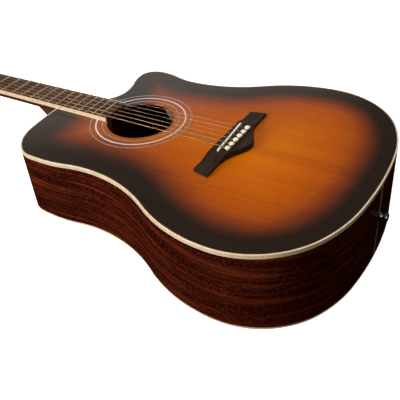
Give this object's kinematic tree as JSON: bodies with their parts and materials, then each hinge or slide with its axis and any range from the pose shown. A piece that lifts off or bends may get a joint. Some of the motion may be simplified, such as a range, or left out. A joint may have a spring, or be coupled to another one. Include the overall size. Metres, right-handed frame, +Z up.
{
  "type": "acoustic guitar",
  "caption": "Flat-top steel-string acoustic guitar with a rounded cutaway, sunburst top, bound body, pinned bridge and geared tuning machines, lying on its back.",
  "frame": {"origin": "on the flat outer face of the back, below the centre of the soundhole", "axes": "+X towards the tail, +Y towards the treble strings and the cutaway, +Z up out of the back"},
  "size_m": [1.0538, 0.394, 0.1255],
  "materials": {
    "spruce_top": "gloss amber sunburst over fine straight spruce grain, darkening to near black at the rim",
    "rosewood": "oiled dark rosewood with open pores",
    "mahogany_body": "gloss red-brown ribbon-grain mahogany",
    "mahogany_neck": "satin red-brown mahogany",
    "cream_binding": "glossy aged-cream binding plastic",
    "dark_purfling": "thin dark line let into the edge of the top",
    "rosette_white": "bright off-white inlaid ring",
    "rosette_dark": "fine grey and dark inlaid lines",
    "inner_wood": "bare unvarnished spruce and mahogany",
    "maple_plate": "bare maple",
    "bone": "polished cream bone",
    "pin_plastic": "cream plastic pins",
    "fret_metal": "polished nickel silver",
    "pearl_dots": "pearl inlay",
    "dark_dots": "dark side dots",
    "rod_steel": "plain steel rod",
    "chrome_hardware": "polished chrome",
    "plain_steel": "plain tinned steel wire",
    "bronze_wound": "bronze-wound string"
  },
  "bodies": {
    "guitar": {"back": "mahogany_body", "back_binding": "cream_binding", "back_braces": "inner_wood", "back_strip": "inner_wood", "bridge": "rosewood", "bridge_pins": "pin_plastic", "bridge_plate": "maple_plate", "face_dots": "pearl_dots", "fingerboard": "rosewood", "fingerboard_binding": "cream_binding", "frets": "fret_metal", "headstock_overlay": "rosewood", "linings": "inner_wood", "neck": "mahogany_neck", "neck_block": "inner_wood", "nut": "bone", "rosette_dark_rings": "rosette_dark", "rosette_white_ring": "rosette_white", "saddle": "bone", "side_bass": "mahogany_body", "side_dots": "dark_dots", "side_treble": "mahogany_body", "soundboard": "spruce_top", "soundboard_bars": "inner_wood", "strap_button": "chrome_hardware", "strap_button_screw": "chrome_hardware", "string_1": "plain_steel", "string_2": "plain_steel", "string_3": "bronze_wound", "string_4": "bronze_wound", "string_5": "bronze_wound", "string_6": "bronze_wound", "tail_block": "inner_wood", "tail_strip": "cream_binding", "top_binding": "cream_binding", "top_purfling": "dark_purfling", "transverse_brace": "inner_wood", "truss_rod": "rod_steel", "tuner_bushings": "chrome_hardware", "tuner_housings": "chrome_hardware", "tuner_screws": "chrome_hardware", "x_brace": "inner_wood"},
    "post_1": {"tuner_post_1": "chrome_hardware", "string_1_winding": "plain_steel"},
    "knob_1": {"tuner_knob_1": "chrome_hardware"},
    "post_2": {"tuner_post_2": "chrome_hardware", "string_2_winding": "plain_steel"},
    "knob_2": {"tuner_knob_2": "chrome_hardware"},
    "post_3": {"tuner_post_3": "chrome_hardware", "string_3_winding": "bronze_wound"},
    "knob_3": {"tuner_knob_3": "chrome_hardware"},
    "post_4": {"tuner_post_4": "chrome_hardware", "string_4_winding": "bronze_wound"},
    "knob_4": {"tuner_knob_4": "chrome_hardware"},
    "post_5": {"tuner_post_5": "chrome_hardware", "string_5_winding": "bronze_wound"},
    "knob_5": {"tuner_knob_5": "chrome_hardware"},
    "post_6": {"tuner_post_6": "chrome_hardware", "string_6_winding": "bronze_wound"},
    "knob_6": {"tuner_knob_6": "chrome_hardware"}
  },
  "joints": [
    {"name": "knob_1_spin", "type": "hinge", "parent": "guitar", "child": "knob_1", "pos_m": [-0.53771, 0.0245, 0.04952], "axis": [0, 1, 0], "continuous": true},
    {"name": "post_1_spin", "type": "hinge", "parent": "guitar", "child": "post_1", "pos_m": [-0.55085, 0.0245, 0.06625], "axis": [-0.2814, 0, 0.9596], "continuous": true},
    {"name": "knob_2_spin", "type": "hinge", "parent": "guitar", "child": "knob_2", "pos_m": [-0.5761, 0.0245, 0.03826], "axis": [0, 1, 0], "continuous": true},
    {"name": "post_2_spin", "type": "hinge", "parent": "guitar", "child": "post_2", "pos_m": [-0.58924, 0.0245, 0.05499], "axis": [-0.2814, 0, 0.9596], "continuous": true},
    {"name": "knob_3_spin", "type": "hinge", "parent": "guitar", "child": "knob_3", "pos_m": [-0.61448, 0.0245, 0.02701], "axis": [0, 1, 0], "continuous": true},
    {"name": "post_3_spin", "type": "hinge", "parent": "guitar", "child": "post_3", "pos_m": [-0.62762, 0.0245, 0.04373], "axis": [-0.2814, 0, 0.9596], "continuous": true},
    {"name": "knob_4_spin", "type": "hinge", "parent": "guitar", "child": "knob_4", "pos_m": [-0.61448, -0.0245, 0.02701], "axis": [0, -1, 0], "continuous": true},
    {"name": "post_4_spin", "type": "hinge", "parent": "guitar", "child": "post_4", "pos_m": [-0.62762, -0.0245, 0.04373], "axis": [-0.2814, 0, 0.9596], "continuous": true},
    {"name": "knob_5_spin", "type": "hinge", "parent": "guitar", "child": "knob_5", "pos_m": [-0.5761, -0.0245, 0.03826], "axis": [0, -1, 0], "continuous": true},
    {"name": "post_5_spin", "type": "hinge", "parent": "guitar", "child": "post_5", "pos_m": [-0.58924, -0.0245, 0.05499], "axis": [-0.2814, 0, 0.9596], "continuous": true},
    {"name": "knob_6_spin", "type": "hinge", "parent": "guitar", "child": "knob_6", "pos_m": [-0.53771, -0.0245, 0.04952], "axis": [0, -1, 0], "continuous": true},
    {"name": "post_6_spin", "type": "hinge", "parent": "guitar", "child": "post_6", "pos_m": [-0.55085, -0.0245, 0.06625], "axis": [-0.2814, 0, 0.9596], "continuous": true}
  ],
  "couplings": [
    {"joint": "post_1_spin", "follows": "knob_1_spin", "ratio": -0.071429},
    {"joint": "post_2_spin", "follows": "knob_2_spin", "ratio": -0.071429},
    {"joint": "post_3_spin", "follows": "knob_3_spin", "ratio": -0.071429},
    {"joint": "post_4_spin", "follows": "knob_4_spin", "ratio": 0.071429},
    {"joint": "post_5_spin", "follows": "knob_5_spin", "ratio": 0.071429},
    {"joint": "post_6_spin", "follows": "knob_6_spin", "ratio": 0.071429}
  ]
}
